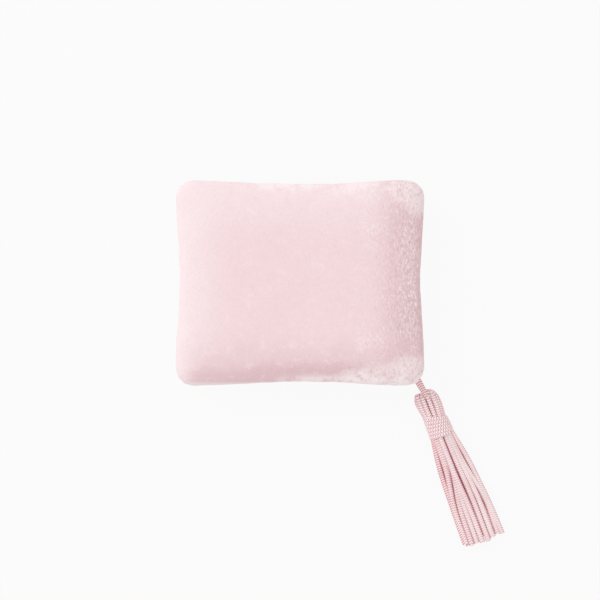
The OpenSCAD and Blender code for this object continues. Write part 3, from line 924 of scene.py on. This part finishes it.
def wound(name, line, run, radius, material, around=14):
    """A knitted cord wound round the tassel's axis: its cross-section keeps facing outwards."""
    centre = tassel_point(0, 0, NECK_Z)
    out = line - centre
    out = unit_rows(out - (out @ ALONG)[:, None] * ALONG)
    ahead = unit_rows(np.gradient(line, axis=0))
    side = unit_rows(np.cross(ahead, out))
    theta, column, lane = stitch_columns(around)
    lean = column * WOUND_LEAN
    wave = np.clip(0.66 + 0.9 * np.cos(TAU * (run[:, None] / RIB_PITCH - lean[None, :])), 0, 1)
    relief = wave * lane[None, :]
    r = radius * (1 - WOUND_DEPTH + WOUND_DEPTH * relief)
    ring = (
        line[:, None, :]
        + side[:, None, :] * (r * np.cos(theta))[:, :, None]
        + out[:, None, :] * (r * np.sin(theta))[:, :, None]
    )
    faces = tube_faces(len(line), around)
    return add_mesh(name, ring.reshape(-1, 3), faces, material, relief.reshape(-1))


# Centre line of the hanging loop, from its post to the tassel's pivot, as in the part's source
LOOP_ROUTE = [
    (35.4, -27.9, 8), (36.9, -29.5, 8), (38.4, -31.1, 8), (39.9, -32.7, 8), (41.3, -34.3, 7.9),
    (42.3, -36, 7.8), (43.1, -37.4, 7.7), (43.8, -38.7, 7.5), (44.5, -40.3, 7.0), (44.9, -41.2, 6.3),
]
LOOP_R = 1.5


def loop_taper(q):
    """Share of the full width: level along the loop, and narrower where it dives into the head."""
    return np.minimum(0.86, 1.12 - 0.5 * q)


def make_loop(material):
    """A flat ribbed braid laid along the loop's route, from its post to the tassel's pivot."""
    piece, _ = knitted(
        "loop_braid", LOOP_ROUTE, LOOP_R, material, flat=0.38, around=20, taper=loop_taper, pitch=0.8
    )
    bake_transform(piece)
    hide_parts("hanging_loop")


# ---------------------------------------------------------------- inside the case

def plain_material(name, tone, rough, metal=0.0, grain_mm=0.4, grain_depth_mm=0.01, vary=0.06):
    """A solid colour with a slight drift in tone and a fine surface grain."""
    material, tree, shader = new_material(name)
    place = object_place(tree)
    drift = grain(tree, place, 9, 3, 0.5)
    light = tuple(min(1, c * (1 + vary)) for c in tone[:3]) + (1,)
    dark = tuple(c * (1 - vary) for c in tone[:3]) + (1,)
    put(tree, mix(tree, drift, dark, light), shader.inputs["Base Color"])
    shader.inputs["Roughness"].default_value = rough
    shader.inputs["Metallic"].default_value = metal
    bump(tree, shader, grain(tree, place, grain_mm, 3, 0.6), grain_depth_mm)
    return material


def brushed_material(name, tone, rough, middle):
    """Metal with fine turned lines about a middle point."""
    material, tree, shader = new_material(name)
    place = object_place(tree)
    away = tree.nodes.new("ShaderNodeVectorMath")
    away.operation = "DISTANCE"
    put(tree, place, away.inputs[0])
    away.inputs[1].default_value = (Vector(middle) * MM)[:]
    radius = tree.nodes.new("ShaderNodeCombineXYZ")
    put(tree, away.outputs["Value"], radius.inputs[0])
    lines = grain(tree, radius.outputs[0], 0.15, 4, 0.7)
    dark = tuple(c * 0.86 for c in tone[:3]) + (1,)
    put(tree, mix(tree, ramp(tree, lines, 0.3, 0.7), dark, tone), shader.inputs["Base Color"])
    shader.inputs["Roughness"].default_value = rough
    shader.inputs["Metallic"].default_value = 1.0
    bump(tree, shader, lines, 0.01)
    return material


def powder_material():
    material, tree, shader = new_material("powder_peach")
    place = object_place(tree)
    fine = grain(tree, place, 0.18, 3, 0.8)
    drift = grain(tree, place, 5, 4, 0.6)
    colour = mix(tree, ramp(tree, drift, 0.3, 0.7), rgb(231, 193, 170), rgb(236, 202, 180))
    # Painted shade in the stamped grooves
    colour = mix(tree, ramp(tree, attribute(tree, "relief"), 0.0, 1.0), rgb(205, 156, 132), colour)
    colour = mix(tree, ramp(tree, fine, 0.62, 0.75, 0.0, 0.35), colour, rgb(246, 222, 206))
    put(tree, colour, shader.inputs["Base Color"])
    shader.inputs["Roughness"].default_value = 0.95
    shader.inputs["Specular IOR Level"].default_value = 0.15
    bump(tree, shader, fine, 0.05)
    return material


def plush_material():
    material, tree, shader = new_material("puff_plush_white")
    place = object_place(tree)
    clump = grain(tree, place, 1.4, 5, 0.75, 0.8)
    fibre = grain(tree, place, 0.25, 3, 0.8, 1.0)
    colour = mix(tree, ramp(tree, clump, 0.3, 0.65), rgb(240, 214, 214), rgb(252, 240, 238))
    put(tree, colour, shader.inputs["Base Color"])
    shader.inputs["Roughness"].default_value = 1.0
    shader.inputs["Sheen Weight"].default_value = 0.6
    shader.inputs["Sheen Roughness"].default_value = 0.6
    bump(tree, shader, sums(tree, "MULTIPLY_ADD", fibre, 0.5, clump), 0.35, 0.8)
    return material


def satin_material(name, tone, deep):
    """Satin: long threads one way, and a fine cross weave under them."""
    material, tree, shader = new_material(name)
    place = object_place(tree)
    stretch = tree.nodes.new("ShaderNodeMapping")
    put(tree, place, stretch.inputs["Vector"])
    stretch.inputs["Scale"].default_value = (1, 0.06, 1)
    threads = grain(tree, stretch.outputs[0], 0.16, 2, 0.5)
    weave = tree.nodes.new("ShaderNodeTexWave")
    weave.bands_direction = "Y"
    weave.inputs["Scale"].default_value = 1 / (2.2 * MM)
    put(tree, place, weave.inputs["Vector"])
    blend = product(tree, threads, ramp(tree, weave.outputs["Fac"], 0, 1, 0.8, 1.0))
    put(tree, mix(tree, ramp(tree, blend, 0.25, 0.65), deep, tone), shader.inputs["Base Color"])
    shader.inputs["Roughness"].default_value = 0.32
    shader.inputs["Anisotropic"].default_value = 0.5
    shader.inputs["Sheen Weight"].default_value = 0.2
    bump(tree, shader, blend, 0.03)
    return material


def mirror_material():
    material, tree, shader = new_material("mirror_silver")
    place = object_place(tree)
    smudge = grain(tree, place, 12, 4, 0.6)
    tone = mix(tree, smudge, (0.86, 0.87, 0.88, 1), (0.93, 0.935, 0.94, 1))
    put(tree, tone, shader.inputs["Base Color"])
    shader.inputs["Metallic"].default_value = 1.0
    shader.inputs["Roughness"].default_value = 0.03
    return material


def dress(node, material):
    """Gives a carried-over CAD piece its material."""
    mesh = frame["nodes"][node].data
    mesh.materials.clear()
    mesh.materials.append(material)


# Pressed powder: how far it is domed, and how deep its pattern goes
POWDER_CROWN = 0.5
STAMP_DEPTH = 0.3
# Its lattice of grooves ends this far from the rim and fades over this much before that. The lines' rate
# is in radians to a millimetre
LATTICE_IN, LATTICE_FADE = 2.6, 0.8
LATTICE_RATE = 0.48
# One groove runs round, this far from the rim and about this far to each side
GROOVE_IN, GROOVE_HALF_W = 1.9, 0.35
# The clumps of the puff's pile: their size, and how deep the gaps between them are
CLUMP_MM = 1.3
CLUMP_DEPTH = 0.16


def make_powder(material):
    """Pressed powder stamped with a lattice of grooves, and with one groove near its rim."""
    low, high = box_mm("powder_cake")
    cx, cy = (low[:2] + high[:2]) / 2
    radius = (high[0] - low[0]) / 2
    rim = high[2] - POWDER_CROWN
    around, rings = 260, 90
    points, relief = [], []
    for k in range(rings + 1):
        r = radius * (0.004 + 0.996 * k / rings)
        inside = np.clip((radius - LATTICE_IN - r) / LATTICE_FADE, 0, 1)
        border = math.exp(-(((r - radius + GROOVE_IN) / GROOVE_HALF_W) ** 2))
        dome = POWDER_CROWN * (1 - (r / radius) ** 4)
        for j in range(around):
            a = TAU * j / around
            x, y = r * math.cos(a), r * math.sin(a)
            lattice = min(abs(math.sin((x + y) * LATTICE_RATE)), abs(math.sin((x - y) * LATTICE_RATE)))
            cut = max(inside * (1 - min(1, 3.2 * lattice)), border)
            points.append((cx + x, cy + y, min(rim + dome - STAMP_DEPTH * cut, high[2])))
            relief.append(1 - cut)
    for j in range(around):
        a = TAU * j / around
        points.append((cx + radius * math.cos(a), cy + radius * math.sin(a), low[2]))
        relief.append(1)
    faces = [tuple(reversed(f)) for f in ring_faces(rings + 2, around)]
    faces.append(tuple(range(around)))
    faces.append(tuple((rings + 1) * around + j for j in reversed(range(around))))
    piece = add_mesh("pressed_powder_cake", points, faces, material, relief)
    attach(piece, "base")
    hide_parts("powder_cake")


def make_puff(material):
    """A plush pad, stadium shaped, with rounded edges and a clumpy pile."""
    low, high = box_mm("puff_pad")
    centre = (low + high) / 2
    half = (high - low) / 2
    around, rings = 120, 40
    points = []
    for k in range(rings + 1):
        a = math.pi * (k / rings - 0.5)
        shrink = max(abs(math.cos(a)), 0.02) ** 0.45
        z = half[2] * math.copysign(abs(math.sin(a)) ** 0.8, a)
        for j in range(around):
            t = TAU * j / around
            r = half[0] * shrink
            x = r * math.cos(t)
            straight = math.copysign(half[1] - half[0], math.sin(t)) * min(1, abs(math.sin(t)) * 6)
            y = r * math.sin(t) + straight * min(1, shrink * 1.2)
            tuft = CLUMP_DEPTH * (smooth_noise(x, y, z, CLUMP_MM, 4.4) - 1)
            points.append(centre + np.array([x, y, z]) * (1 + tuft / half[0]))
    piece = add_mesh("puff_plush_pad", points, tube_faces(rings + 1, around), material)
    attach(piece, "puff")
    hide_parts("puff_pad")


def dress_inside():
    shell = plain_material("shell_blush", rgb(240, 214, 216), 0.4)
    deck = plain_material("deck_blush_gloss", rgb(238, 200, 205), 0.18, grain_depth_mm=0.004)
    steel = plain_material("steel_bright", rgb(205, 205, 208), 0.25, metal=1.0, grain_mm=0.1)
    foam = plain_material("padding_white", rgb(244, 240, 236), 0.95, grain_mm=0.5, grain_depth_mm=0.15)
    tape = plain_material("tape_white", rgb(236, 234, 228), 0.6)
    low, high = box_mm("powder_pan")
    pan = brushed_material("pan_aluminium", rgb(214, 216, 220), 0.28, (low + high) / 2)
    dress("base_shell", shell)
    dress("lid_shell", shell)
    dress("inner_deck", deck)
    dress("mirror_bezel", deck)
    dress("powder_pan", pan)
    dress("mirror", mirror_material())
    for node in ("mirror_tape", "pan_adhesive"):
        dress(node, tape)
    for node in ("hinge_pin", "loop_post", "closing_magnets", "magnet_keepers"):
        dress(node, steel)
    for node in ("base_padding", "lid_padding"):
        dress(node, foam)
    dress("puff_backing", satin_material("puff_backing_satin", rgb(238, 196, 203), rgb(222, 170, 180)))
    dress("puff_ribbon", satin_material("puff_ribbon_satin", rgb(244, 208, 214), rgb(222, 166, 177)))
    # The core is deep rose as painted shade, for the gaps between the cords over it
    dress("tassel_core", plain_material("core_rose_gap_shade", rgb(214, 134, 145), 0.9))
    make_powder(powder_material())
    make_puff(plush_material())


make_camera()
# Every cord glows a little as painted light; the under cords glow more on their upward faces, and the light
# cords are paler, with more painted glow
cord_pink = cord_material("cord_pink", rgb(250, 237, 237), rgb(217, 147, 154), 0.025)
cord_under = cord_material("cord_pink_under", rgb(251, 232, 233), rgb(221, 148, 156), 0.03, 0.08)
cord_light = cord_material("cord_pink_light", rgb(255, 254, 253), rgb(224, 160, 168), 0.035)
make_skirt(cord_pink, cord_under)
make_head(cord_light)
make_band(cord_light)
make_loop(cord_pink)

velvet = velvet_material()
for body, up in (("lid", 1), ("base", -1)):
    cover = make_cover(f"{body}_velvet", velvet, up)
    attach(cover, body)
    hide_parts(f"{body}_cover")

dress_inside()
make_floor()
make_lights()
